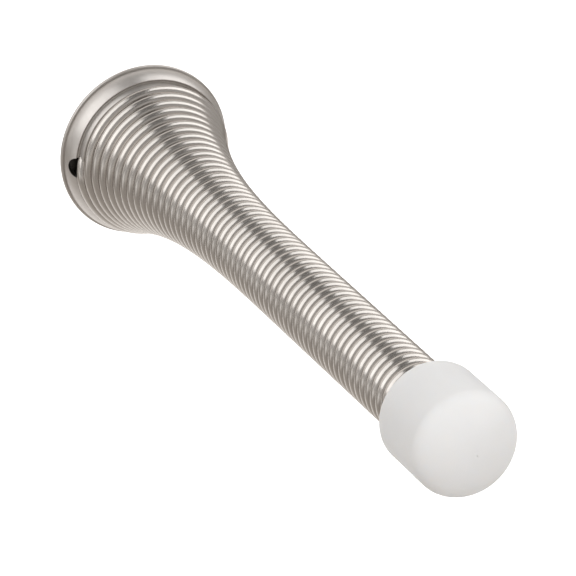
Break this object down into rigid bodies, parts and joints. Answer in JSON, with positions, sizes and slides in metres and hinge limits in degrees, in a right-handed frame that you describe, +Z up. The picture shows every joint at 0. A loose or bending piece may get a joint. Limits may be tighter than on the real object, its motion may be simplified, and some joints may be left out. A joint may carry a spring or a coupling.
{
  "type": "spring door stop",
  "caption": "Flexible wall-mounted door stop: domed flange on a wood screw, close-wound flared spring and a soft domed tip.",
  "frame": {"origin": "where the screw's axis crosses the wall plane, at the flange's back", "axes": "+Z up, +Y into the wall along the screw; the stop sticks out along -Y"},
  "size_m": [0.019, 0.0976, 0.019],
  "materials": {
    "nickel_flange": "satin nickel plate on stamped steel",
    "nickel_wire": "satin nickel plate on spring wire",
    "screw_steel": "zinc plated",
    "disc_plastic": "matte black moulded plastic",
    "tip_rubber": "smooth matte off-white"
  },
  "bodies": {
    "base": {"base_flange": "nickel_flange", "back_disc": "disc_plastic", "wood_screw": "screw_steel", "spring_length_1": "nickel_wire"},
    "spring_body_2": {"spring_length_2": "nickel_wire"},
    "spring_body_3": {"spring_length_3": "nickel_wire"},
    "spring_body_4": {"spring_length_4": "nickel_wire"},
    "spring_body_5": {"spring_length_5": "nickel_wire"},
    "spring_body_6": {"spring_length_6": "nickel_wire"},
    "spring_body_7": {"spring_length_7": "nickel_wire"},
    "spring_body_8": {"spring_length_8": "nickel_wire"},
    "spring_body_9": {"spring_length_9": "nickel_wire"},
    "tip": {"tip_cap": "tip_rubber"}
  },
  "joints": [
    {"name": "flex_updown_1", "type": "hinge", "parent": "base", "child": "spring_body_2", "pos_m": [0, -0.015, 0], "axis": [1, 0, 0], "range_deg": [-12, 12], "stiffness_Nm_per_rad": 2, "deforming": ["spring_length_1", "spring_length_2"]},
    {"name": "flex_sideways_1", "type": "hinge", "parent": "spring_body_2", "child": "spring_body_3", "pos_m": [0, -0.0222, 0], "axis": [0, 0, 1], "range_deg": [-12, 12], "stiffness_Nm_per_rad": 2, "deforming": ["spring_length_2", "spring_length_3"]},
    {"name": "flex_updown_2", "type": "hinge", "parent": "spring_body_3", "child": "spring_body_4", "pos_m": [0, -0.0294, 0], "axis": [1, 0, 0], "range_deg": [-12, 12], "deforming": ["spring_length_3", "spring_length_4"]},
    {"name": "flex_sideways_2", "type": "hinge", "parent": "spring_body_4", "child": "spring_body_5", "pos_m": [0, -0.0366, 0], "axis": [0, 0, 1], "range_deg": [-12, 12], "deforming": ["spring_length_4", "spring_length_5"]},
    {"name": "flex_updown_3", "type": "hinge", "parent": "spring_body_5", "child": "spring_body_6", "pos_m": [0, -0.0438, 0], "axis": [1, 0, 0], "range_deg": [-12, 12], "deforming": ["spring_length_5", "spring_length_6"]},
    {"name": "flex_sideways_3", "type": "hinge", "parent": "spring_body_6", "child": "spring_body_7", "pos_m": [0, -0.051, 0], "axis": [0, 0, 1], "range_deg": [-12, 12], "deforming": ["spring_length_6", "spring_length_7"]},
    {"name": "flex_updown_4", "type": "hinge", "parent": "spring_body_7", "child": "spring_body_8", "pos_m": [0, -0.0582, 0], "axis": [1, 0, 0], "range_deg": [-12, 12], "deforming": ["spring_length_7", "spring_length_8"]},
    {"name": "flex_sideways_4", "type": "hinge", "parent": "spring_body_8", "child": "spring_body_9", "pos_m": [0, -0.0654, 0], "axis": [0, 0, 1], "range_deg": [-12, 12], "deforming": ["spring_length_8", "spring_length_9"]},
    {"name": "tip_pull_off", "type": "slide", "parent": "spring_body_9", "child": "tip", "axis": [0, -1, 0], "range_m": [0, 0.008]}
  ],
  "couplings": [
    {"joint": "flex_updown_2", "follows": "flex_updown_1", "ratio": 1},
    {"joint": "flex_sideways_2", "follows": "flex_sideways_1", "ratio": 1},
    {"joint": "flex_updown_3", "follows": "flex_updown_1", "ratio": 1},
    {"joint": "flex_sideways_3", "follows": "flex_sideways_1", "ratio": 1},
    {"joint": "flex_updown_4", "follows": "flex_updown_1", "ratio": 1},
    {"joint": "flex_sideways_4", "follows": "flex_sideways_1", "ratio": 1}
  ]
}
